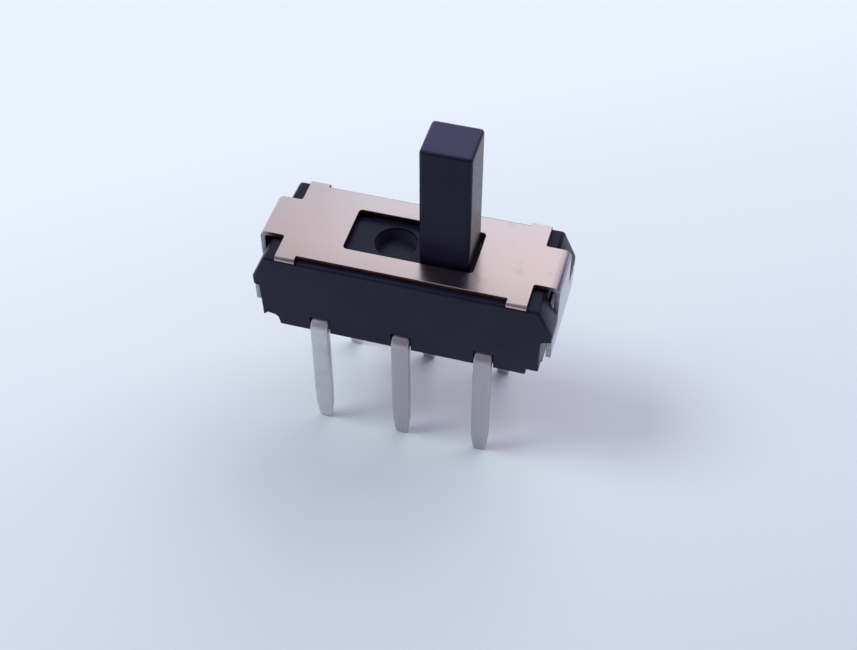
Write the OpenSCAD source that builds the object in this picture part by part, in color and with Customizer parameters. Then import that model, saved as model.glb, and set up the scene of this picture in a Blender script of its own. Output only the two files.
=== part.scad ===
// Miniature slide switch with two poles and two positions.
// A moulded housing carries two rows of three terminals. A sliding handle runs
// in its cavity with a spring contact for each pole, and a stamped cover closes
// the cavity and hooks under the four corner posts.
//
// The origin is the centre of the housing's underside, which lies on the board.
// +Z runs up the handle and +X is the direction in which the handle slides.
// The handle is drawn at the +X end of its travel.

/* [Housing] */
// Length of the housing over its corner posts
housing_l = 8.9; // [8.7:0.05:11.5]
// Width of the housing across its top edges
housing_w = 3.45; // [3.35:0.05:4.5]
// Height of the housing above the board
housing_h = 2.8; // [2.6:0.05:3.6]
// How far each side leans in from its top edge to the underside
side_draft = 0.12; // [0:0.01:0.15]
// Wall along each side of the cavity, at the underside
side_wall = 0.3; // [0.28:0.01:0.34]
// Plastic under the contact pads
pad_bed = 0.22; // [0.1:0.01:0.4]

/* [Housing ends] */
// Height of the step under each corner post
step_z = 1.6; // [1.3:0.05:1.8]
// Height at which the outer face of a post starts to slope inwards
shoulder_z = 1.95; // [1.9:0.05:2.4]
// Distance from a post's outer face in to where that slope meets the top
slope_in = 0.4; // [0.3:0.01:0.6]
// Largest rounding in the corner under a step
step_r = 0.14; // [0.02:0.01:0.2]
// Length of the underside between the rebates at its two ends
foot_l = 7.54; // [7.3:0.02:7.9]
// Height of the rebates at the -X end
rebate_h_left = 0.42; // [0.2:0.01:0.6]
// Height of the rebates at the +X end
rebate_h_right = 0.24; // [0.05:0.01:0.5]
// Depth of the lip left along the outer edge of the -X rebates
lip_h = 0.16; // [0.05:0.01:0.18]
// Width of each rebate, in from the side of the housing
rebate_w = 0.7; // [0.3:0.05:0.8]

/* [Cover] */
// Thickness of the cover's sheet
sheet_t = 0.15; // [0.12:0.01:0.2]
// Width of the housing's rim left bare along each side of the cover
rim = 0.21; // [0.15:0.01:0.25]
// How far the four edge ears reach past the plate, over that rim
ear_reach = 0.22; // [0.05:0.01:0.25]
// Length of each edge ear
ear_l = 0.6; // [0.4:0.01:1]
// Distance from the posts' outer faces in to the corner notches
notch_in = 0.76; // [0.65:0.01:0.9]
// Rounding inside the corner notches and at the ends of the ears
notch_r = 0.07; // [0.03:0.01:0.1]
// Width of the tab that folds down over each end
tab_w = 1.6; // [1.2:0.02:1.8]
// Inside radius of the tab's bend
bend_r = 0.08; // [0.05:0.01:0.15]
// Width of the hook bar across the foot of each tab
hook_w = 3.1; // [2.6:0.05:3.2]
// Height of the hook bar's lower edge above the board
hook_z = 0.88; // [0.7:0.01:1.05]
// Corner radius of the hook bar
hook_corner_r = 0.04; // [0.02:0.01:0.15]
// Corner radius of the handle slot
slot_corner_r = 0.12; // [0.05:0.01:0.2]

/* [Slider] */
// Travel of the handle between its two positions
travel = 2.1; // [1.8:0.05:2.2]
// Length of the handle along its travel
handle_l = 1.48; // [1:0.02:1.6]
// Width of the handle across its travel
handle_w = 1.41; // [0.8:0.01:1.6]
// Height of the handle above the cover
handle_h = 4; // [1:0.1:8]
// Rounding along the handle's edges
handle_r = 0.12; // [0.03:0.01:0.2]
// Diameter of the round hollow in each wing of the carriage
hollow_d = 1.26; // [0.6:0.02:1.4]
// Depth of that hollow
hollow_h = 0.4; // [0.05:0.01:0.5]
// Distance from the handle to that hollow
hollow_gap = 0.24; // [0.1:0.01:0.3]
// Plastic above the contact pockets
pocket_roof = 0.9; // [0.6:0.05:1.1]
// Plastic outside each contact pocket
pocket_skirt = 0.25; // [0.15:0.01:0.3]
// Thickness of the tongue at each end of the carriage
tongue_t = 0.6; // [0.4:0.05:1]
// Rounding of the tongues' corners
tongue_r = 0.08; // [0.03:0.01:0.3]

/* [Contact springs] */
// Width of a contact spring
spring_w = 0.5; // [0.35:0.01:0.6]
// Thickness of a contact spring
spring_t = 0.1; // [0.06:0.01:0.14]
// Radius of the crown in the middle of the spring
crown_r = 0.45; // [0.3:0.01:0.5]
// Radius of the two domes that rub on the pads
dome_r = 0.22; // [0.15:0.01:0.26]
// Length of the turned-up end beyond each dome
spring_tip = 0.25; // [0.1:0.01:0.35]
// Angle of the turned-up ends
tip_angle = 40; // [20:5:60]

/* [Terminals] */
// Distance between neighbouring terminals of a row
pitch = 2.5; // [2.4:0.01:2.6]
// Width of a terminal's leg
leg_w = 0.53; // [0.4:0.01:0.7]
// Thickness of the terminals' strip
strip_t = 0.32; // [0.2:0.01:0.35]
// Outside radius of the bend between the arm and the leg
leg_bend_r = 0.4; // [0.36:0.01:0.5]
// Length of a leg below the board face
leg_l = 3.85; // [2.8:0.05:5]
// How far the inner faces of the legs lie inside the housing's lower edges
leg_set = 0.155; // [0:0.005:0.17]
// Width of a leg at its tip
tip_w = 0.39; // [0.2:0.01:0.4]
// Thickness of a leg at its tip
tip_t = 0.17; // [0.1:0.01:0.2]
// Height of the taper in the width of a leg
tip_h = 0.7; // [0.3:0.05:1.2]
// Height of the taper in the thickness of a leg
tip_thin_h = 1.5; // [0.5:0.05:2]
// Width of a contact pad
pad_w = 0.7; // [0.5:0.01:0.8]
// How far a pad reaches past its leg and past its spring's dome
pad_margin = 0.35; // [0.2:0.01:0.4]

/* [Fits] */
// Gap between the carriage and each side of the cavity
guide_gap = 0.05; // [0.02:0.01:0.1]
// Gap left at each end stop
stop_gap = 0.03; // [0.01:0.01:0.1]
// Gap left between a tongue and the cover's tab at each end of the travel
tongue_gap = 0.2; // [0.12:0.01:0.22]
// Gap between the carriage and the cover
lid_gap = 0.08; // [0.05:0.01:0.2]
// Gap between the carriage and the floor
foot_gap = 0.06; // [0.02:0.01:0.1]
// Gap between the handle and each end of the slot
slot_end_gap = 0.13; // [0.05:0.01:0.2]
// Gap between the handle and each side of the slot
slot_side_gap = 0.14; // [0.05:0.01:0.2]
// Gap between the housing's -X end face and the cover's tab
tab_gap_left = 0.03; // [0.02:0.01:0.15]
// Gap between the housing's +X end face and the cover's tab
tab_gap_right = 0.16; // [0.02:0.01:0.2]
// Gap between a tab and the corner posts beside it
post_gap = 0.06; // [0.03:0.01:0.15]
// Gap between a hook bar and the step above it
hook_gap = 0.04; // [0.02:0.01:0.1]
// Gap round a spring in its pocket
spring_gap = 0.06; // [0.03:0.01:0.08]
// Gap between a dome and the pads
rub_gap = 0.02; // [0.01:0.005:0.04]
// Gap round a leg in its notch
leg_notch_gap = 0.03; // [0.02:0.01:0.06]
// How far the cover's plate laps over the solid corners of the housing
corner_lap = 0.05; // [0.03:0.01:0.3]

/* [Hidden] */
$fn = 64;
// Overshoot of a cut past the face that it opens
over = 0.5;
// Steps in each arc of the spring's outline
arc_steps = 10;

plastic = [0.13, 0.13, 0.17];
sheet = [0.8, 0.75, 0.74];
tin = [0.74, 0.75, 0.75];
bronze = [0.72, 0.52, 0.3];

// Cover: the tabs lie flush with the outer faces of the posts beside them
post_x = housing_l / 2;
tab_in = post_x - sheet_t;
cover_z = housing_h + sheet_t;
plate_x = post_x - notch_in;
plate_w = housing_w - 2 * rim;
hook_top = step_z - hook_gap;
slot_l = handle_l + travel + 2 * slot_end_gap;
slot_w = handle_w + 2 * slot_side_gap;

// Housing: between the posts each end face lies behind its tab
left_end = -(tab_in - tab_gap_left);
right_end = tab_in - tab_gap_right;
base_y = housing_w / 2 - side_draft;
floor_z = pad_bed + strip_t;

// The cavity ends under the plate. A shallow channel between the posts runs on out
// of each end, behind the tab.
cavity_l = 2 * (plate_x - corner_lap);
cavity_w = 2 * (base_y - side_wall);
channel_w = tab_w + 2 * post_gap;

// Slider: a wide carriage with a thin tongue at each end that stays under the slot
slider_x = travel / 2;
carriage_l = cavity_l - travel - 2 * stop_gap;
carriage_w = cavity_w - 2 * guide_gap;
carriage_z = floor_z + foot_gap;
wing_z = housing_h - lid_gap;
tongue_l = 2 * (tab_in - tongue_gap) - travel;
tongue_w = channel_w - 2 * guide_gap;
tongue_z = wing_z - tongue_t;
pocket_z = wing_z - pocket_roof;
pocket_w = spring_w + 2 * spring_gap;

// Springs: the domes stand one travel apart, so each moves from pad to pad
contact_y = carriage_w / 2 - pocket_skirt - pocket_w / 2;
dome_x = travel / 2;
crown_z = pocket_z - spring_t / 2 - crown_r;
dome_z = floor_z + rub_gap + spring_t / 2 + dome_r;
centres_d = norm([dome_x, crown_z - dome_z]);
flank_angle = atan2(crown_z - dome_z, dome_x) + asin((crown_r + dome_r) / centres_d);
spring_end = dome_x + (dome_r + spring_t / 2) * sin(tip_angle) + spring_tip * cos(tip_angle);

// Terminals
leg_in = base_y - leg_set;
leg_out = leg_in + strip_t;
pad_half = leg_w / 2 + pad_margin;

// A rectangle centred on the origin with round corners
module round_rect(size, r) {
    for (turn = [0, 1])
        square([size.x - 2 * r * turn, size.y - 2 * r * (1 - turn)], center = true);
    for (x = [-1, 1], y = [-1, 1])
        translate([x * (size.x / 2 - r), y * (size.y / 2 - r)]) circle(r);
}

// A quarter of a ring about the origin, from its first axis to its second
module quarter_ring(outer_r, inner_r) {
    intersection() {
        difference() {
            circle(outer_r);
            circle(inner_r);
        }
        square(outer_r);
    }
}

// An outline in X and Z, extruded along Y from one place to another
module along_y(from, to) {
    translate([0, to, 0]) rotate([90, 0, 0]) linear_extrude(to - from) children();
}

// An outline in Y and Z, extruded along X on both sides of the middle
module along_x(length) {
    rotate([90, 0, 90]) linear_extrude(length, center = true) children();
}

// Its children, and their mirror images at the -X end
module both_ends() {
    for (m = [0, 1]) mirror([m, 0, 0]) children();
}

// Its children, and their mirror images at the front
module both_sides() {
    for (m = [0, 1]) mirror([0, m, 0]) children();
}

// ---- Housing ----

// Cross-section of the housing, wider at the top than at the underside
module housing_section() {
    top_y = housing_w / 2;
    polygon([[-base_y, 0], [base_y, 0], [top_y, housing_h], [-top_y, housing_h]]);
}

// Side view of the whole housing, which slopes in at both ends towards its top
module housing_side() {
    slope_x = post_x - slope_in;
    polygon([
        [-post_x, 0], [post_x, 0], [post_x, shoulder_z], [slope_x, housing_h],
        [-slope_x, housing_h], [-post_x, shoulder_z]
    ]);
}

// Side view of the block between the two end faces
module block_side() {
    intersection() {
        housing_side();
        translate([left_end, 0]) square([right_end - left_end, housing_h]);
    }
}

// Side view of a post at the +X end: a wedge over a step with a rounded inner
// corner. end_gap is how far the end face lies behind the cover's tab.
module post_side(end_gap) {
    face_x = tab_in - end_gap;
    r = min(step_r, end_gap);
    intersection() {
        housing_side();
        translate([plate_x, step_z]) square([post_x - plate_x, housing_h - step_z]);
    }
    difference() {
        translate([face_x - r, step_z - r]) square([2 * r, 2 * r]);
        translate([face_x + r, step_z - r]) circle(r);
    }
}

// The two posts of one end, one on each side of the tab
module post_pair(end_gap) {
    both_sides() along_y(channel_w / 2, housing_w / 2) post_side(end_gap);
}

// Side view of a rebate under the +X end: a plain step
module plain_rebate_side() {
    translate([foot_l / 2, -over]) square([right_end - foot_l / 2 + over, rebate_h_right + over]);
}

// Side view of a rebate under the -X end: rounded inside, with a lip outside
module lipped_rebate_side() {
    r = rebate_h_left / 2;
    inner_x = -foot_l / 2;
    cut_l = inner_x - left_end + over;
    lip_z = rebate_h_left - lip_h;
    difference() {
        union() {
            translate([left_end - over, -over]) square([cut_l, r + over]);
            translate([left_end - over, 0]) square([cut_l - r, rebate_h_left]);
            translate([inner_x - r, r]) circle(r);
        }
        polygon([[left_end - over, lip_z], [left_end, lip_z], [left_end + lip_h, rebate_h_left],
                 [left_end - over, rebate_h_left]]);
    }
}

// Rebates under the four corners
module corner_rebates() {
    both_sides() along_y(housing_w / 2 - rebate_w, housing_w / 2 + over) {
        plain_rebate_side();
        lipped_rebate_side();
    }
}

// Notches in the rear side for the bends of its legs
module leg_notches() {
    notch_w = leg_w + 2 * leg_notch_gap;
    notch_y = leg_in - leg_notch_gap;
    notch_top = floor_z + leg_notch_gap;
    for (x = [-pitch, 0, pitch])
        translate([x - notch_w / 2, notch_y, -over])
            cube([notch_w, housing_w / 2 - notch_y + over, notch_top + over]);
}

// The cavity from its floor up through the top, with the channel for the tongues
module cavity() {
    channel_z = tongue_z - foot_gap;
    translate([-cavity_l / 2, -cavity_w / 2, floor_z])
        cube([cavity_l, cavity_w, housing_h - floor_z + over]);
    translate([-post_x, -channel_w / 2, channel_z])
        cube([2 * post_x, channel_w, housing_h - channel_z + over]);
}

module housing() {
    color(plastic) difference() {
        intersection() {
            along_x(2 * post_x) housing_section();
            union() {
                along_y(-housing_w / 2, housing_w / 2) block_side();
                post_pair(tab_gap_right);
                mirror([1, 0, 0]) post_pair(tab_gap_left);
            }
        }
        cavity();
        corner_rebates();
        both_sides() leg_notches();
        terminal_front_left();
        terminal_front_centre();
        terminal_front_right();
        terminal_rear_left();
        terminal_rear_centre();
        terminal_rear_right();
    }
}

// ---- Cover ----

// Plan of the flat plate with its handle slot and its rounded corner notches
module plate_plan() {
    difference() {
        union() {
            square([2 * plate_x, plate_w], center = true);
            both_ends() both_sides() translate([plate_x, tab_w / 2]) difference() {
                translate([-notch_r, -notch_r]) square(2 * notch_r);
                translate([notch_r, notch_r]) circle(notch_r);
            }
        }
        round_rect([slot_l, slot_w], slot_corner_r);
    }
}

// One edge ear, rolled down over the rim of the housing
module ear() {
    edge_y = plate_w / 2;
    root_y = edge_y + ear_reach - sheet_t;
    translate([plate_x - ear_l, 0, housing_h]) intersection() {
        union() {
            cube([ear_l, root_y, sheet_t]);
            translate([0, root_y, 0]) rotate([0, 90, 0]) cylinder(r = sheet_t, h = ear_l);
        }
        translate([ear_l / 2, edge_y, 0])
            linear_extrude(sheet_t) round_rect([ear_l, 2 * ear_reach], notch_r);
    }
}

// Side view of the tab over the +X end: its root on the plate, its bend and its neck
module tab_side() {
    root_x = plate_x - notch_r;
    bend_x = tab_in - bend_r;
    bend_z = housing_h - bend_r;
    neck_z = hook_top - hook_corner_r;
    translate([root_x, housing_h]) square([bend_x - root_x, sheet_t]);
    translate([bend_x, bend_z]) quarter_ring(bend_r + sheet_t, bend_r);
    translate([tab_in, neck_z]) square([sheet_t, bend_z - neck_z]);
}

// The tab over the +X end, with the hook bar across its foot
module tab() {
    along_y(-tab_w / 2, tab_w / 2) tab_side();
    translate([tab_in, 0, (hook_top + hook_z) / 2]) rotate([90, 0, 90])
        linear_extrude(sheet_t) round_rect([hook_w, hook_top - hook_z], hook_corner_r);
}

module cover() {
    color(sheet) {
        translate([0, 0, housing_h]) linear_extrude(sheet_t) plate_plan();
        both_ends() {
            tab();
            both_sides() ear();
        }
    }
}

// ---- Slider ----

// A bar with all its edges rounded but those at its foot
module handle_bar(height) {
    intersection() {
        linear_extrude(height) round_rect([handle_l, handle_w], handle_r);
        along_y(-handle_w, handle_w)
            translate([0, height / 2 - handle_l])
                round_rect([handle_l, height + 2 * handle_l], handle_r);
        along_x(2 * handle_l)
            translate([0, height / 2 - handle_w])
                round_rect([handle_w, height + 2 * handle_w], handle_r);
    }
}

// The carriage without its pockets and hollows
module carriage_block() {
    translate([-carriage_l / 2, -carriage_w / 2, carriage_z])
        cube([carriage_l, carriage_w, wing_z - carriage_z]);
    translate([0, 0, tongue_z])
        linear_extrude(tongue_t) round_rect([tongue_l, tongue_w], tongue_r);
}

// Room for one spring, open towards the floor
module contact_pocket() {
    pocket_l = 2 * (spring_end + spring_gap);
    translate([-pocket_l / 2, contact_y - pocket_w / 2, carriage_z - over])
        cube([pocket_l, pocket_w, pocket_z - carriage_z + over]);
}

module slider() {
    color(plastic) translate([slider_x, 0, 0]) {
        difference() {
            carriage_block();
            both_sides() contact_pocket();
            both_ends()
                translate([handle_l / 2 + hollow_gap + hollow_d / 2, 0, wing_z - hollow_h])
                    cylinder(d = hollow_d, h = hollow_h + over);
        }
        translate([0, 0, pocket_z]) handle_bar(cover_z + handle_h - pocket_z);
    }
}

// ---- Contact springs ----

// Points along an arc
function arc(centre, r, from, to) = [
    for (i = [0:arc_steps])
        let (a = from + (to - from) * i / arc_steps)
            centre + r * [cos(a), sin(a)]
];

// One face of the spring's +X half, a distance outside its middle line
function half_face(out) = let (
    dome = arc([dome_x, dome_z], dome_r - out, 270 - flank_angle, 270 + tip_angle)
) concat(
    arc([0, crown_z], crown_r + out, 90, 90 - flank_angle),
    dome,
    [dome[arc_steps] + spring_tip * [cos(tip_angle), sin(tip_angle)]]
);

// A list of points from its last to its first
function reversed(points) = [for (i = [len(points) - 1:-1:0]) points[i]];

// One face of the whole spring, from its -X tip to its +X tip
function spring_face(out) = let (half = half_face(out)) concat(
    [for (p = reversed(half)) if (p.x > 0) [-p.x, p.y]],
    half
);

// A strip bent into a crown between two domes
module contact_spring() {
    outline = concat(spring_face(spring_t / 2), reversed(spring_face(-spring_t / 2)));
    color(bronze) translate([slider_x, 0, 0])
        along_y(contact_y - spring_w / 2, contact_y + spring_w / 2) polygon(outline);
}

module contact_front() mirror([0, 1, 0]) contact_spring();

module contact_rear() contact_spring();

// ---- Terminals ----

// Front view of a terminal's strip, with the leg's tapered tip
module strip_front() {
    polygon([
        [-leg_w / 2, floor_z], [-leg_w / 2, tip_h - leg_l], [-tip_w / 2, -leg_l],
        [tip_w / 2, -leg_l], [leg_w / 2, tip_h - leg_l], [leg_w / 2, floor_z]
    ]);
}

// Side view of that strip: the arm through the wall, the bend, and the leg, which is
// thinned towards its tip
module strip_side() {
    leg_y = (leg_in + leg_out) / 2;
    bend_y = leg_out - leg_bend_r;
    bend_z = floor_z - leg_bend_r;
    translate([contact_y, pad_bed]) square([bend_y - contact_y, strip_t]);
    translate([bend_y, bend_z]) quarter_ring(leg_bend_r, leg_bend_r - strip_t);
    polygon([
        [leg_in, bend_z], [leg_in, tip_thin_h - leg_l], [leg_y - tip_t / 2, -leg_l],
        [leg_y + tip_t / 2, -leg_l], [leg_out, tip_thin_h - leg_l], [leg_out, bend_z]
    ]);
}

// A rear terminal: pad_from and pad_to are the ends of its pad, leg_x is its leg's place
module terminal(leg_x, pad_from, pad_to) {
    color(tin) {
        translate([pad_from, contact_y - pad_w / 2, pad_bed])
            cube([pad_to - pad_from, pad_w, strip_t]);
        translate([leg_x, 0, 0]) intersection() {
            along_y(contact_y, leg_out) strip_front();
            along_x(leg_w) strip_side();
        }
    }
}

module side_terminal() terminal(pitch, travel - pad_margin, pitch + pad_half);

module centre_terminal() terminal(0, -pad_half, pad_half);

module terminal_front_left() mirror([1, 0, 0]) mirror([0, 1, 0]) side_terminal();

module terminal_front_centre() mirror([0, 1, 0]) centre_terminal();

module terminal_front_right() mirror([0, 1, 0]) side_terminal();

module terminal_rear_left() mirror([1, 0, 0]) side_terminal();

module terminal_rear_centre() centre_terminal();

module terminal_rear_right() side_terminal();

housing();
cover();
slider();
contact_front();
contact_rear();
terminal_front_left();
terminal_front_centre();
terminal_front_right();
terminal_rear_left();
terminal_rear_centre();
terminal_rear_right();
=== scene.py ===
"""Looks of a miniature slide switch: moulded housing, stamped cover, tall handle, six legs."""

import math

import bmesh
import bpy
from mathutils import Matrix, Quaternion, Vector


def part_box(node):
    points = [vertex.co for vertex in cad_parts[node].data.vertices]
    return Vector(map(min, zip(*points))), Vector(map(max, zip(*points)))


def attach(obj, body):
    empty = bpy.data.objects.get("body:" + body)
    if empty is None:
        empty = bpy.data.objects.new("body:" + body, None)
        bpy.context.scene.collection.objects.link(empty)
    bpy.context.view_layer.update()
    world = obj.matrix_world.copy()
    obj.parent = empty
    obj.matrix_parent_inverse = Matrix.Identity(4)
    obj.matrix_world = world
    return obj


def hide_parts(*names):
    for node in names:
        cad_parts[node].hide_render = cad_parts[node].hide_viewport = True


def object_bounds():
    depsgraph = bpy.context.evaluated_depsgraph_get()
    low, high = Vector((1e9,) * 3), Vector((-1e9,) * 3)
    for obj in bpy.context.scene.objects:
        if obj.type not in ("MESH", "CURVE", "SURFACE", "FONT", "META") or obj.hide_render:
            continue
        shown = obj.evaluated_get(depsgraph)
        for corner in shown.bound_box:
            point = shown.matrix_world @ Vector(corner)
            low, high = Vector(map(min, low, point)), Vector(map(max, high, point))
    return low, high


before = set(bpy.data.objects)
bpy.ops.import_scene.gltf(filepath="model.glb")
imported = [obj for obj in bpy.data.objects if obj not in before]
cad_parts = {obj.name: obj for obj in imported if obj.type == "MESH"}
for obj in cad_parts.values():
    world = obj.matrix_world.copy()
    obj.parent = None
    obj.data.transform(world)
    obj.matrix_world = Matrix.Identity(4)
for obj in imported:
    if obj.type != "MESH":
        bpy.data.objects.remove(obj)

cad_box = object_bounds()

# Pieces are built in millimetres and scaled to metres when they are done
MM = 0.001


# ---- Sizes, in millimetres ----

def node_box(node):
    """Lowest and highest corner of a CAD node."""
    low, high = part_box(node)
    return low / MM, high / MM


housing_high = node_box("housing")[1]
cover_low, cover_high = node_box("cover")
slider_low, slider_high = node_box("slider")
spring_low, spring_high = node_box("contact_rear")

# Housing
# How far each side leans in from top to foot
SIDE_DRAFT = 0.12
# Width of the rim that shows beside the cover's plate
RIM = 0.21
# Height of the steps under the posts
STEP_Z = 1.6

# Handle
TRAVEL = 2.1
HANDLE_L = 1.48
HANDLE_W = 1.41
HANDLE_R = 0.12

# Cover
SHEET_T = 0.15
BEND_R = 0.08
NOTCH_IN = 0.76
NOTCH_R = 0.07
EAR_L = 0.6
TAB_W = 1.6
HOOK_W = 3.1
HOOK_GAP = 0.04
HOOK_CORNER_R = 0.04
HOOK_TOP = STEP_Z - HOOK_GAP
PLATE_HALF_L = cover_high.x - NOTCH_IN
PLATE_HALF_W = housing_high.y - RIM
BEND_START = cover_high.x - SHEET_T - BEND_R
SLOT_END_GAP = 0.13
SLOT_SIDE_GAP = 0.14
SLOT_CORNER_R = 0.12
SLOT_L = HANDLE_L + TRAVEL + 2 * SLOT_END_GAP
SLOT_W = HANDLE_W + 2 * SLOT_SIDE_GAP

# Carriage, with a tongue at each end that runs between the posts
STOP_GAP = 0.03
GUIDE_GAP = 0.05
POST_GAP = 0.06
LID_GAP = 0.08
CORNER_LAP = 0.05
CARRIAGE_X = (slider_low.x + slider_high.x) / 2
CARRIAGE_L = 2 * (PLATE_HALF_L - CORNER_LAP - STOP_GAP) - TRAVEL
WING_Z = housing_high.z - LID_GAP
TONGUE_T = 0.6
TONGUE_W = TAB_W + 2 * (POST_GAP - GUIDE_GAP)
TONGUE_R = 0.08
HOLLOW_D = 1.26
HOLLOW_H = 0.4
HOLLOW_GAP = 0.24

# Pockets for the contact springs
SPRING_GAP = 0.06
POCKET_ROOF = 0.9
POCKET_Z = WING_Z - POCKET_ROOF
POCKET_L = spring_high.x - spring_low.x + 2 * SPRING_GAP
POCKET_W = spring_high.y - spring_low.y + 2 * SPRING_GAP
POCKET_Y = (spring_high.y + spring_low.y) / 2

# Roundings of the edges
HOUSING_TOP_R = 0.08
HOUSING_LOW_R = 0.05
SHEET_EDGE_R = 0.02
SLIDER_EDGE_R = 0.03
LEG_EDGE_R = 0.065
# Edges that turn by more than this many degrees count as corners
SHARP_ANGLE = 35


# ---- Making solids ----

def add_object(name, mesh):
    """A new object in the scene, with that mesh."""
    obj = bpy.data.objects.new(name, mesh)
    bpy.context.scene.collection.objects.link(obj)
    return obj


def from_bmesh(name, bm):
    """A new object from a bmesh, with its faces turned outwards."""
    bmesh.ops.recalc_face_normals(bm, faces=bm.faces)
    mesh = bpy.data.meshes.new(name)
    bm.to_mesh(mesh)
    bm.free()
    return add_object(name, mesh)


def arc(cx, cy, radius, start, end, steps):
    """Points on an arc, from one angle in degrees to another."""
    angles = [math.radians(start + (end - start) * i / steps) for i in range(steps + 1)]
    return [(cx + radius * math.cos(a), cy + radius * math.sin(a)) for a in angles]


def round_rect(cx, cy, length, width, radius, steps=8):
    """Outline of a rectangle with round corners, around a middle point."""
    dx, dy = length / 2 - radius, width / 2 - radius
    outline = []
    for x, y, start in ((dx, dy, 0), (-dx, dy, 90), (-dx, -dy, 180), (dx, -dy, 270)):
        outline += arc(cx + x, cy + y, radius, start, start + 90, steps)
    return outline


def rectangle(low_x, low_y, high_x, high_y):
    """Outline of a rectangle between two corners."""
    return [(low_x, low_y), (high_x, low_y), (high_x, high_y), (low_x, high_y)]


def prism(name, outline, axis, low, high):
    """An outline in the plane across an axis, extruded along it."""
    place = {
        "x": lambda u, v, w: (w, u, v),
        "y": lambda u, v, w: (u, w, v),
        "z": lambda u, v, w: (u, v, w),
    }[axis]
    bm = bmesh.new()
    rings = [[bm.verts.new(place(u, v, w)) for u, v in outline] for w in (low, high)]
    bm.faces.new(rings[0])
    bm.faces.new(rings[1])
    count = len(outline)
    for i in range(count):
        j = (i + 1) % count
        bm.faces.new((rings[0][i], rings[0][j], rings[1][j], rings[1][i]))
    return from_bmesh(name, bm)


def bake_modifiers(obj):
    """Puts the result of an object's modifiers into its mesh."""
    graph = bpy.context.evaluated_depsgraph_get()
    mesh = bpy.data.meshes.new_from_object(obj.evaluated_get(graph))
    obj.modifiers.clear()
    obj.data = mesh


def combine(base, other, operation):
    """Adds another solid to a base, or cuts it out of the base, and uses it up."""
    modifier = base.modifiers.new("combine", "BOOLEAN")
    modifier.operation = operation
    modifier.solver = "EXACT"
    modifier.object = other
    bake_modifiers(base)
    bpy.data.objects.remove(other)
    return base


def mirrored(obj, axis):
    """A mirrored copy of an object, across the plane where that coordinate is 0."""
    mesh = obj.data.copy()
    factors = [-1 if i == axis else 1 for i in range(3)]
    mesh.transform(Matrix.Diagonal((*factors, 1)))
    mesh.flip_normals()
    return add_object(obj.name + "_mirror", mesh)


def join_mirrored(base, part, axes):
    """Joins a part to a base, with its mirror images across each axis in turn."""
    parts = [part]
    for axis in axes:
        parts += [mirrored(p, axis) for p in parts]
    for p in parts:
        combine(base, p, "UNION")


def merge_flat_faces(obj):
    """Welds doubled points and merges faces that lie in one plane."""
    bm = bmesh.new()
    bm.from_mesh(obj.data)
    bmesh.ops.remove_doubles(bm, verts=bm.verts, dist=1e-4)
    bmesh.ops.dissolve_limit(
        bm, angle_limit=math.radians(0.5), verts=bm.verts, edges=bm.edges
    )
    bm.to_mesh(obj.data)
    bm.free()


def shade_smooth(obj):
    """Shades roundings smooth, flat faces flat and corners sharp."""
    for polygon in obj.data.polygons:
        polygon.use_smooth = True
    obj.data.set_sharp_from_angle(angle=math.radians(SHARP_ANGLE))
    normals = obj.modifiers.new("flat faces", "WEIGHTED_NORMAL")
    normals.weight = 50
    normals.keep_sharp = True


def round_edges(obj, radius, segments=3, angle=SHARP_ANGLE, method="ANGLE", clamp=True):
    """Rounds an object's edges, by their angle or by their weights, and shades it."""
    bevel = obj.modifiers.new("round edges", "BEVEL")
    bevel.width = radius
    bevel.segments = segments
    bevel.limit_method = method
    bevel.angle_limit = math.radians(angle)
    bevel.use_clamp_overlap = clamp
    bake_modifiers(obj)
    shade_smooth(obj)


def to_metres(obj):
    """Scales a mesh from millimetres to the frame's metres."""
    obj.data.transform(Matrix.Scale(MM, 4))


def from_node(node, name):
    """A copy of a CAD node's mesh in millimetres, with its split points welded."""
    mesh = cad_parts[node].data.copy()
    mesh.materials.clear()
    mesh.transform(Matrix.Scale(1 / MM, 4))
    obj = add_object(name, mesh)
    merge_flat_faces(obj)
    return obj


# ---- Materials ----

def new_material(name):
    """A new material, with its nodes, its links and its shader node."""
    material = bpy.data.materials.new(name)
    material.use_nodes = True
    nodes = material.node_tree.nodes
    return material, nodes, material.node_tree.links, nodes["Principled BSDF"]


def millimetre_coordinates(nodes, links):
    """Object coordinates in millimetres."""
    coordinates = nodes.new("ShaderNodeTexCoord")
    scale = nodes.new("ShaderNodeVectorMath")
    scale.operation = "SCALE"
    scale.inputs["Scale"].default_value = 1 / MM
    links.new(coordinates.outputs["Object"], scale.inputs[0])
    return scale.outputs["Vector"]


def noise(nodes, links, vector, scale, detail):
    """Soft noise about 0.5; a scale of 1 has patches about a millimetre wide."""
    texture = nodes.new("ShaderNodeTexNoise")
    texture.inputs["Scale"].default_value = scale
    texture.inputs["Detail"].default_value = detail
    links.new(vector, texture.inputs["Vector"])
    return texture.outputs["Fac"]


def ramp(nodes, links, value, stops):
    """A colour that follows a value, through (position, colour) stops."""
    node = nodes.new("ShaderNodeValToRGB")
    elements = node.color_ramp.elements
    while len(elements) < len(stops):
        elements.new(0.5)
    for element, (position, colour) in zip(elements, stops):
        element.position = position
        element.color = (*colour, 1)
    links.new(value, node.inputs["Fac"])
    return node.outputs["Color"]


def map_range(nodes, links, value, low, high, to_low, to_high):
    """A value taken from one range to another, and held within its ends."""
    node = nodes.new("ShaderNodeMapRange")
    for socket, number in zip(
        ("From Min", "From Max", "To Min", "To Max"), (low, high, to_low, to_high)
    ):
        node.inputs[socket].default_value = number
    links.new(value, node.inputs["Value"])
    return node.outputs["Result"]


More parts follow.
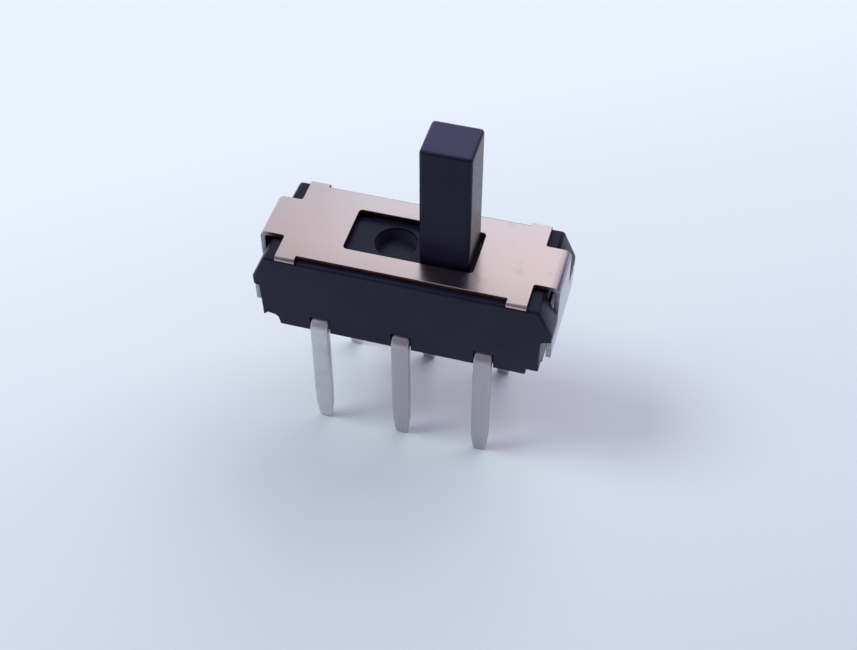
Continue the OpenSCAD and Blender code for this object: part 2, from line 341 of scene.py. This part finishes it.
def axis_value(nodes, links, vector, axis, absolute=False):
    """One coordinate of a vector, or its size without its sign."""
    split = nodes.new("ShaderNodeSeparateXYZ")
    links.new(vector, split.inputs["Vector"])
    if not absolute:
        return split.outputs[axis]
    size = nodes.new("ShaderNodeMath")
    size.operation = "ABSOLUTE"
    links.new(split.outputs[axis], size.inputs[0])
    return size.outputs["Value"]


def mix_colours(nodes, links, factor, first, second, blend="MIX"):
    """The second colour where the factor is 1; a factor or colour is a socket or a value."""
    node = nodes.new("ShaderNodeMix")
    node.data_type = "RGBA"
    node.blend_type = blend
    if isinstance(factor, (int, float)):
        node.inputs["Factor"].default_value = factor
    else:
        links.new(factor, node.inputs["Factor"])
    # The node has an A, a B and a result for each data type: these are the colours'
    for socket, colour in zip((node.inputs[6], node.inputs[7]), (first, second)):
        if isinstance(colour, tuple):
            socket.default_value = (*colour, 1)
        else:
            links.new(colour, socket)
    return node.outputs[2]


def bump(nodes, links, height, distance, strength, shader):
    """Gives a shader relief that follows a height, up to a distance in metres."""
    node = nodes.new("ShaderNodeBump")
    node.inputs["Strength"].default_value = strength
    node.inputs["Distance"].default_value = distance
    links.new(height, node.inputs["Height"])
    links.new(node.outputs["Normal"], shader.inputs["Normal"])


def moulded_plastic(name, dark, light, roughness, specular):
    """Black moulded plastic with a fine grain and faint cloudy variation."""
    material, nodes, links, shader = new_material(name)
    vector = millimetre_coordinates(nodes, links)
    clouds = noise(nodes, links, vector, scale=0.7, detail=4)
    colour = ramp(nodes, links, clouds, ((0.35, dark), (0.7, light)))
    links.new(colour, shader.inputs["Base Color"])
    spots = noise(nodes, links, vector, scale=7, detail=3)
    links.new(
        map_range(nodes, links, spots, 0.3, 0.7, roughness - 0.03, roughness + 0.05),
        shader.inputs["Roughness"],
    )
    shader.inputs["Specular IOR Level"].default_value = specular
    shader.inputs["Specular Tint"].default_value = (0.66, 0.68, 1, 1)
    grain = noise(nodes, links, vector, scale=18, detail=3)
    bump(nodes, links, grain, distance=0.001 * MM, strength=0.4, shader=shader)
    return material


def handle_plastic(name, dark, light, top_sheen_and_wear, roughness, specular):
    """The slider's plastic, paler on the handle's top from a painted highlight and some wear, and
    in the hollows from painted light.
    """
    material = moulded_plastic(name, dark, light, roughness, specular)
    nodes, links = material.node_tree.nodes, material.node_tree.links
    shader = nodes["Principled BSDF"]
    plain = shader.inputs["Base Color"].links[0].from_socket
    height = axis_value(nodes, links, millimetre_coordinates(nodes, links), "Z")

    # Painted light in the hollows: a little on the floor, more on the wall, none at the rim
    floor_to_rim = map_range(nodes, links, height, WING_Z - HOLLOW_H, WING_Z, 0, 1)
    hollow_light = ramp(
        nodes, links, floor_to_rim,
        ((0.02, (0.019, 0.017, 0.028)), (0.06, (0.050, 0.045, 0.073))),
    )
    in_hollow = map_range(nodes, links, height, WING_Z - 0.1, WING_Z - 0.05, 1, 0)
    hollow_lit = mix_colours(nodes, links, in_hollow, plain, hollow_light)

    # Painted highlight and some wear on the handle's top: high up, and facing upwards
    above = map_range(nodes, links, height, cover_high.z + 1, cover_high.z + 2, 0, 1)
    facing = axis_value(nodes, links, nodes.new("ShaderNodeNewGeometry").outputs["Normal"], "Z")
    upward = map_range(nodes, links, facing, 0.6, 0.98, 0, 1)
    on_top = nodes.new("ShaderNodeMath")
    on_top.operation = "MULTIPLY"
    links.new(above, on_top.inputs[0])
    links.new(upward, on_top.inputs[1])
    colour = mix_colours(nodes, links, on_top.outputs["Value"], hollow_lit, top_sheen_and_wear)
    links.new(colour, shader.inputs["Base Color"])
    return material


def plated_sheet(name):
    """Semi-bright plated steel with faint stains; its colour carries painted reflection and
    shade, greyer at its -X end and on its +X tab.
    """
    material, nodes, links, shader = new_material(name)
    vector = millimetre_coordinates(nodes, links)
    stretch = nodes.new("ShaderNodeMapping")
    stretch.inputs["Scale"].default_value = (0.5, 6, 6)
    links.new(vector, stretch.inputs["Vector"])
    grain = noise(nodes, links, stretch.outputs["Vector"], scale=2, detail=4)
    x = axis_value(nodes, links, vector, "X")
    y = axis_value(nodes, links, vector, "Y")
    # Painted reflection and shade along the plate: greyer and darker towards -X, warmer towards
    # +X
    along = ramp(
        nodes, links, map_range(nodes, links, x, cover_low.x, cover_high.x, 0, 1),
        (
            (0, (0.655, 0.555, 0.565)), (0.15, (0.72, 0.60, 0.59)),
            (0.3, (0.80, 0.68, 0.68)), (0.9, (0.915, 0.735, 0.725)),
        ),
    )
    # Painted shade across the plate: darker at the front, paler and bluer at the back
    across = ramp(
        nodes, links, map_range(nodes, links, y, cover_low.y, cover_high.y, 0, 1),
        (
            (0, (0.743, 0.743, 0.726)), (0.3, (0.858, 0.858, 0.85)),
            (0.5, (0.885, 0.885, 0.885)), (1, (0.903, 0.965, 1)),
        ),
    )
    flat = mix_colours(nodes, links, 1, along, across, "MULTIPLY")

    # The +X tab, in a painted reflection that darkens up to its bend
    z = axis_value(nodes, links, vector, "Z")
    up_tab = map_range(nodes, links, z, cover_high.z - 1.5, cover_high.z - SHEET_T, 0, 1)
    tab = ramp(
        nodes, links, up_tab,
        ((0, (0.42, 0.42, 0.50)), (0.5, (0.40, 0.40, 0.48)), (1, (0.30, 0.27, 0.34))),
    )
    tab_start = cover_high.x - 2 * SHEET_T
    on_tab = map_range(nodes, links, x, tab_start, cover_high.x - SHEET_EDGE_R, 0, 1)
    plain = mix_colours(nodes, links, on_tab, flat, tab)

    patches = noise(nodes, links, vector, scale=1.7, detail=5)
    stains = map_range(nodes, links, patches, 0.6, 0.75, 0, 0.3)
    colour = mix_colours(nodes, links, stains, plain, (0.52, 0.46, 0.45))
    links.new(colour, shader.inputs["Base Color"])
    links.new(
        map_range(nodes, links, grain, 0.3, 0.7, 0.2, 0.26), shader.inputs["Roughness"]
    )
    shader.inputs["Metallic"].default_value = 1
    bump(nodes, links, grain, distance=0.001 * MM, strength=0.3, shader=shader)
    return material


def sheared_edge(name):
    """The sheet's cut edges: bare and brown along the plate, and made bright by painted light
    along the tabs.
    """
    material, nodes, links, shader = new_material(name)
    vector = millimetre_coordinates(nodes, links)
    streaks = noise(nodes, links, vector, scale=6, detail=3)
    bare = ramp(nodes, links, streaks, ((0.3, (0.04, 0.013, 0.011)), (0.7, (0.12, 0.045, 0.036))))
    # Painted light: the cut edges along the tabs are drawn bright
    bright = ramp(nodes, links, streaks, ((0.3, (0.31, 0.30, 0.34)), (0.7, (0.46, 0.45, 0.49))))
    from_middle = axis_value(nodes, links, vector, "X", absolute=True)
    on_tab = map_range(
        nodes, links, from_middle, BEND_START - SHEET_T, BEND_START + BEND_R, 0, 1
    )
    links.new(mix_colours(nodes, links, on_tab, bare, bright), shader.inputs["Base Color"])
    shader.inputs["Metallic"].default_value = 0.7
    shader.inputs["Roughness"].default_value = 0.5
    bump(nodes, links, streaks, distance=0.003 * MM, strength=0.5, shader=shader)
    return material


def dull_tin(name):
    """Dull tin plating, slightly uneven, with painted shade that makes it greyer from the middle
    legs on.
    """
    material, nodes, links, shader = new_material(name)
    vector = millimetre_coordinates(nodes, links)
    clouds = noise(nodes, links, vector, scale=1.6, detail=4)
    plain = ramp(nodes, links, clouds, ((0.3, (0.65, 0.64, 0.63)), (0.7, (0.75, 0.74, 0.73))))
    x = axis_value(nodes, links, vector, "X")
    # Painted shade: the legs from the middle on are greyer
    shade_past_middle = map_range(nodes, links, x, -2, 0, 0, 1)
    colour = mix_colours(nodes, links, shade_past_middle, plain, (0.52, 0.50, 0.50))
    links.new(colour, shader.inputs["Base Color"])
    links.new(
        map_range(nodes, links, clouds, 0.3, 0.7, 0.46, 0.38), shader.inputs["Roughness"]
    )
    shader.inputs["Metallic"].default_value = 0.85
    dents = noise(nodes, links, vector, scale=5, detail=4)
    bump(nodes, links, dents, distance=0.005 * MM, strength=0.4, shader=shader)
    return material


def bronze_strip(name):
    """Bright rolled bronze strip."""
    material, nodes, links, shader = new_material(name)
    vector = millimetre_coordinates(nodes, links)
    grain = noise(nodes, links, vector, scale=8, detail=3)
    links.new(
        ramp(nodes, links, grain, ((0.3, (0.62, 0.38, 0.2)), (0.7, (0.78, 0.52, 0.3)))),
        shader.inputs["Base Color"],
    )
    shader.inputs["Metallic"].default_value = 1
    shader.inputs["Roughness"].default_value = 0.3
    return material


HOUSING_PLASTIC = moulded_plastic(
    "housing_plastic", dark=(0.008, 0.0066, 0.015), light=(0.015, 0.0125, 0.027),
    roughness=0.34, specular=0.24,
)
# Its last colour is the painted highlight, with some wear, on the handle's top
SLIDER_PLASTIC = handle_plastic(
    "slider_plastic", dark=(0.009, 0.0075, 0.017), light=(0.013, 0.011, 0.025),
    top_sheen_and_wear=(0.047, 0.038, 0.082), roughness=0.3, specular=0.24,
)
COVER_SHEET = plated_sheet("cover_sheet")
COVER_EDGE = sheared_edge("cover_edge")
TERMINAL_TIN = dull_tin("terminal_tin")
SPRING_BRONZE = bronze_strip("spring_bronze")


def finish_piece(obj, node, body):
    """Scales a finished piece to metres and lets it stand for its CAD node."""
    to_metres(obj)
    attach(obj, body)
    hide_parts(node)


# ---- Housing ----

# Shorter edges are steps in a curve, and stay as they are
SHORTEST_ROUNDED = 0.1


def weigh_outer_edges(housing):
    """Gives the housing's outer edges their rounding: more above the posts' steps than below."""
    bm = bmesh.new()
    bm.from_mesh(housing.data)
    weight = bm.edges.layers.float.new("bevel_weight_edge")
    for edge in bm.edges:
        ends = [v.co for v in edge.verts]
        on_side = all(abs(end.y) > housing_high.y - SIDE_DRAFT - 0.01 for end in ends)
        on_end = all(abs(end.x) > PLATE_HALF_L for end in ends)
        sharp = edge.is_convex and edge.calc_face_angle() > math.radians(SHARP_ANGLE)
        if (on_side or on_end) and sharp and edge.calc_length() > SHORTEST_ROUNDED:
            high = all(end.z > STEP_Z + 0.1 for end in ends)
            edge[weight] = 1 if high else HOUSING_LOW_R / HOUSING_TOP_R
    bm.to_mesh(housing.data)
    bm.free()


housing = from_node("housing", "housing_moulding")
housing.data.materials.append(HOUSING_PLASTIC)
weigh_outer_edges(housing)
round_edges(housing, HOUSING_TOP_R, method="WEIGHT", clamp=False)
finish_piece(housing, "housing", "base")


# ---- Cover ----

def notched_outline():
    """The plate's outline, with its four corner notches rounded inside."""
    tab_y = TAB_W / 2
    corner = [(PLATE_HALF_L, PLATE_HALF_W)]
    corner += arc(PLATE_HALF_L + NOTCH_R, tab_y + NOTCH_R, NOTCH_R, 180, 270, 6)
    corner += [(BEND_START, tab_y)]
    right = [(x, -y) for x, y in corner] + list(reversed(corner))
    left = [(-x, -y) for x, y in right]
    return right + left


def cover_plate():
    """The flat plate between the bends, with its handle slot."""
    top, under = cover_high.z, cover_high.z - SHEET_T
    plate = prism("cover_sheet_metal", notched_outline(), "z", under, top)
    slot = prism("slot", round_rect(0, 0, SLOT_L, SLOT_W, SLOT_CORNER_R), "z", under - 1, top + 1)
    return combine(plate, slot, "DIFFERENCE")


def cover_tab():
    """The +X tab: a bend, a neck and the hook bar across its foot."""
    outer_r = BEND_R + SHEET_T
    bend_z = cover_high.z - outer_r
    inner_x = cover_high.x - SHEET_T
    bend = arc(BEND_START, bend_z, outer_r, 90, 0, 12)
    bend += arc(BEND_START, bend_z, BEND_R, 0, 90, 12)
    tab = prism("tab", bend, "y", -TAB_W / 2, TAB_W / 2)
    neck = prism(
        "neck", rectangle(-TAB_W / 2, HOOK_TOP - HOOK_CORNER_R, TAB_W / 2, bend_z),
        "x", inner_x, cover_high.x,
    )
    bar_z = (HOOK_TOP + cover_low.z) / 2
    bar_h = HOOK_TOP - cover_low.z
    bar = prism(
        "bar", round_rect(0, bar_z, HOOK_W, bar_h, HOOK_CORNER_R),
        "x", inner_x, cover_high.x,
    )
    combine(neck, bar, "UNION")
    return combine(tab, neck, "UNION")


def cover_ear():
    """The rear +X ear, rolled down over the housing's rim."""
    root_y = cover_high.y - SHEET_T
    under = cover_high.z - SHEET_T
    start_y = PLATE_HALF_W - SHEET_T
    outline = [(start_y, under), (cover_high.y, under)]
    outline += arc(root_y, under, SHEET_T, 0, 90, 8)[1:]
    outline += [(start_y, cover_high.z)]
    return prism("ear", outline, "x", PLATE_HALF_L - EAR_L, PLATE_HALF_L)


def is_cut_face(centre, normal):
    """True on the sheet's cut edges, false on its two plated sides."""
    if abs(centre.x) > BEND_START:
        in_bend = centre.z > cover_high.z - SHEET_T - BEND_R
        return abs(normal.y) > 0.5 or (not in_bend and abs(normal.x) < 0.5)
    if abs(centre.y) > cover_high.y - SHEET_T:
        return abs(normal.x) > 0.5
    return abs(normal.z) < 0.5


def make_cover():
    """The folded sheet in one piece, with one material on its sides and one on its edges."""
    cover = cover_plate()
    join_mirrored(cover, cover_tab(), (0,))
    join_mirrored(cover, cover_ear(), (0, 1))
    merge_flat_faces(cover)
    cover.data.materials.append(COVER_SHEET)
    cover.data.materials.append(COVER_EDGE)
    for polygon in cover.data.polygons:
        polygon.material_index = int(is_cut_face(polygon.center, polygon.normal))
    round_edges(cover, SHEET_EDGE_R, clamp=False)
    return cover


cover = make_cover()
finish_piece(cover, "cover", "base")


# ---- Slider ----

def handle_bar():
    """The handle, rounded on all edges, with its foot inside the carriage."""
    foot = (POCKET_Z + WING_Z) / 2
    outline = rectangle(
        CARRIAGE_X - HANDLE_L / 2, -HANDLE_W / 2, CARRIAGE_X + HANDLE_L / 2, HANDLE_W / 2
    )
    handle = prism("handle", outline, "z", foot, slider_high.z)
    round_edges(handle, HANDLE_R, segments=6)
    return handle


def cut_hollow(slider, side):
    """Cuts the round hollow into the wing on one side of the handle."""
    x = CARRIAGE_X + side * (HANDLE_L / 2 + HOLLOW_GAP + HOLLOW_D / 2)
    ring = arc(x, 0, HOLLOW_D / 2, 0, 360, 64)[:-1]
    combine(slider, prism("hollow", ring, "z", WING_Z - HOLLOW_H, WING_Z + 1), "DIFFERENCE")


def cut_pocket(slider, side):
    """Cuts the pocket for the contact spring of one side, from below."""
    pocket = rectangle(
        CARRIAGE_X - POCKET_L / 2, side * POCKET_Y - POCKET_W / 2,
        CARRIAGE_X + POCKET_L / 2, side * POCKET_Y + POCKET_W / 2,
    )
    combine(slider, prism("pocket", pocket, "z", slider_low.z - 1, POCKET_Z), "DIFFERENCE")


def make_slider():
    """The carriage with its tongues, hollows and pockets, and the handle on it."""
    tongues = round_rect(CARRIAGE_X, 0, slider_high.x - slider_low.x, TONGUE_W, TONGUE_R)
    slider = prism("slider_moulding", tongues, "z", WING_Z - TONGUE_T, WING_Z)
    carriage = rectangle(
        CARRIAGE_X - CARRIAGE_L / 2, slider_low.y, CARRIAGE_X + CARRIAGE_L / 2, slider_high.y
    )
    combine(slider, prism("carriage", carriage, "z", slider_low.z, WING_Z), "UNION")
    for side in (-1, 1):
        cut_hollow(slider, side)
        cut_pocket(slider, side)
    merge_flat_faces(slider)
    round_edges(slider, SLIDER_EDGE_R, segments=2, angle=50)
    combine(slider, handle_bar(), "UNION")
    merge_flat_faces(slider)
    shade_smooth(slider)
    slider.data.materials.clear()
    slider.data.materials.append(SLIDER_PLASTIC)
    return slider


slider = make_slider()
finish_piece(slider, "slider", "slider")


# ---- Terminals ----

def make_terminal(node):
    """One terminal from its CAD solid, with its stamped edges rounded."""
    terminal = from_node(node, node.replace("terminal", "leg"))
    terminal.data.materials.append(TERMINAL_TIN)
    round_edges(terminal, LEG_EDGE_R, segments=4)
    finish_piece(terminal, node, "base")


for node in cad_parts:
    if node.startswith("terminal"):
        make_terminal(node)


# ---- Contact springs ----

for node in ("contact_front", "contact_rear"):
    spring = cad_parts[node]
    spring.data.materials.clear()
    spring.data.materials.append(SPRING_BRONZE)


# ---- Floor, light and camera ----

# Half the floor's side, in metres
FLOOR_HALF = 1.5
# The floor's painted shade follows a line towards the back left, this many degrees from the Y
# axis
FLOOR_TURN = -35
# Both ends of that line, in millimetres from the middle
FLOOR_NEAR = -14
FLOOR_FAR = 206


def make_floor():
    """A pale floor at the legs' tips, with painted shade: darker at the front right and dim in
    the distance.
    """
    bm = bmesh.new()
    bmesh.ops.create_grid(bm, x_segments=1, y_segments=1, size=FLOOR_HALF)
    floor = from_bmesh("floor", bm)
    if floor.data.polygons[0].normal.z < 0:
        floor.data.flip_normals()
    floor.location.z = cad_box[0].z
    material, nodes, links, shader = new_material("pale_floor")
    vector = millimetre_coordinates(nodes, links)
    turn = nodes.new("ShaderNodeMapping")
    turn.inputs["Rotation"].default_value = (0, 0, math.radians(FLOOR_TURN))
    links.new(vector, turn.inputs["Vector"])
    depth = axis_value(nodes, links, turn.outputs["Vector"], "Y")
    shade = map_range(nodes, links, depth, FLOOR_NEAR, FLOOR_FAR, 0, 1)
    links.new(
        ramp(
            nodes, links, shade,
            (
                (0, (0.70, 0.73, 0.78)), (0.127, (0.94, 0.95, 0.97)),
                (0.22, (0.93, 0.94, 0.96)), (1, (0.66, 0.67, 0.69)),
            ),
        ),
        shader.inputs["Base Color"],
    )
    shader.inputs["Roughness"].default_value = 0.6
    shader.inputs["Specular IOR Level"].default_value = 0.2
    floor.data.materials.append(material)


def area_light(name, azimuth, elevation, distance, size, power, colour):
    """A soft lamp that faces the object, placed by its direction and left out of reflections."""
    data = bpy.data.lights.new(name, "AREA")
    data.shape = "DISK"
    data.size = size
    data.energy = power
    data.color = colour
    lamp = bpy.data.objects.new(name, data)
    a, e = math.radians(azimuth), math.radians(elevation)
    direction = Vector((math.sin(a) * math.cos(e), math.cos(a) * math.cos(e), math.sin(e)))
    lamp.location = direction * distance
    lamp.rotation_mode = "QUATERNION"
    lamp.rotation_quaternion = direction.to_track_quat("Z", "Y")
    lamp.visible_glossy = False
    bpy.context.scene.collection.objects.link(lamp)


# The backdrop: its colour, that of its dim side in reflections, and the way to its bright side
BACKDROP = (0.88, 0.90, 0.96)
DIM_BACKDROP = (0.22, 0.19, 0.25)
BRIGHT_SIDE = (-0.35, 0.6, 0.72)


def make_world():
    """A dim room with a pale backdrop, whose reflection is bright above and behind the object."""
    world = bpy.data.worlds.new("pale_room")
    world.use_nodes = True
    nodes, links = world.node_tree.nodes, world.node_tree.links
    room = nodes["Background"]
    room.inputs["Color"].default_value = (0.69, 0.69, 1, 1)
    room.inputs["Strength"].default_value = 0.48
    path = nodes.new("ShaderNodeLightPath")
    direction = nodes.new("ShaderNodeTexCoord").outputs["Generated"]
    towards = nodes.new("ShaderNodeVectorMath")
    towards.operation = "DOT_PRODUCT"
    links.new(direction, towards.inputs[0])
    towards.inputs[1].default_value = BRIGHT_SIDE
    bright = map_range(nodes, links, towards.outputs["Value"], 0.32, 0.7, 0, 1)
    reflected = mix_colours(nodes, links, bright, DIM_BACKDROP, BACKDROP)
    glossy = path.outputs["Is Glossy Ray"]
    backdrop = nodes.new("ShaderNodeBackground")
    links.new(mix_colours(nodes, links, glossy, BACKDROP, reflected), backdrop.inputs["Color"])
    seen = nodes.new("ShaderNodeMath")
    seen.operation = "MAXIMUM"
    links.new(path.outputs["Is Camera Ray"], seen.inputs[0])
    links.new(glossy, seen.inputs[1])
    mix = nodes.new("ShaderNodeMixShader")
    links.new(seen.outputs["Value"], mix.inputs[0])
    links.new(room.outputs["Background"], mix.inputs[1])
    links.new(backdrop.outputs["Background"], mix.inputs[2])
    links.new(mix.outputs["Shader"], nodes["World Output"].inputs["Surface"])
    bpy.context.scene.world = world


# The camera looks down at the switch from the front, a little from its +X side
# Angles are in degrees, distance and aim in millimetres
CAMERA_AZIMUTH = 15.457
CAMERA_ELEVATION = 47.28
CAMERA_ROLL = 0.129
CAMERA_DISTANCE = 40.968
CAMERA_LENS = 60.116
CAMERA_AIM = Vector((0.895, -1.756, 1.46))


def make_camera():
    """The camera, at the viewpoint that the photo was taken from."""
    data = bpy.data.cameras.new("camera")
    data.lens = CAMERA_LENS
    data.sensor_width = 36
    data.clip_start = 0.001
    data.clip_end = 10
    camera = bpy.data.objects.new("camera", data)
    a, e = math.radians(CAMERA_AZIMUTH), math.radians(CAMERA_ELEVATION)
    back = Vector((math.sin(a) * math.cos(e), -math.cos(a) * math.cos(e), math.sin(e)))
    camera.location = (CAMERA_AIM + back * CAMERA_DISTANCE) * MM
    camera.rotation_mode = "QUATERNION"
    roll = Quaternion((0, 0, 1), math.radians(CAMERA_ROLL))
    camera.rotation_quaternion = (-back).to_track_quat("-Z", "Y") @ roll
    bpy.context.scene.collection.objects.link(camera)
    bpy.context.scene.camera = camera


make_floor()
make_world()
area_light(
    "back_window", azimuth=22, elevation=32, distance=0.5, size=0.76,
    power=2.08, colour=(1, 0.985, 0.93),
)
area_light(
    "left_window", azimuth=-104, elevation=54, distance=0.5, size=0.22,
    power=1, colour=(0.81, 1, 0.91),
)
make_camera()
bpy.context.scene.view_settings.view_transform = "Standard"
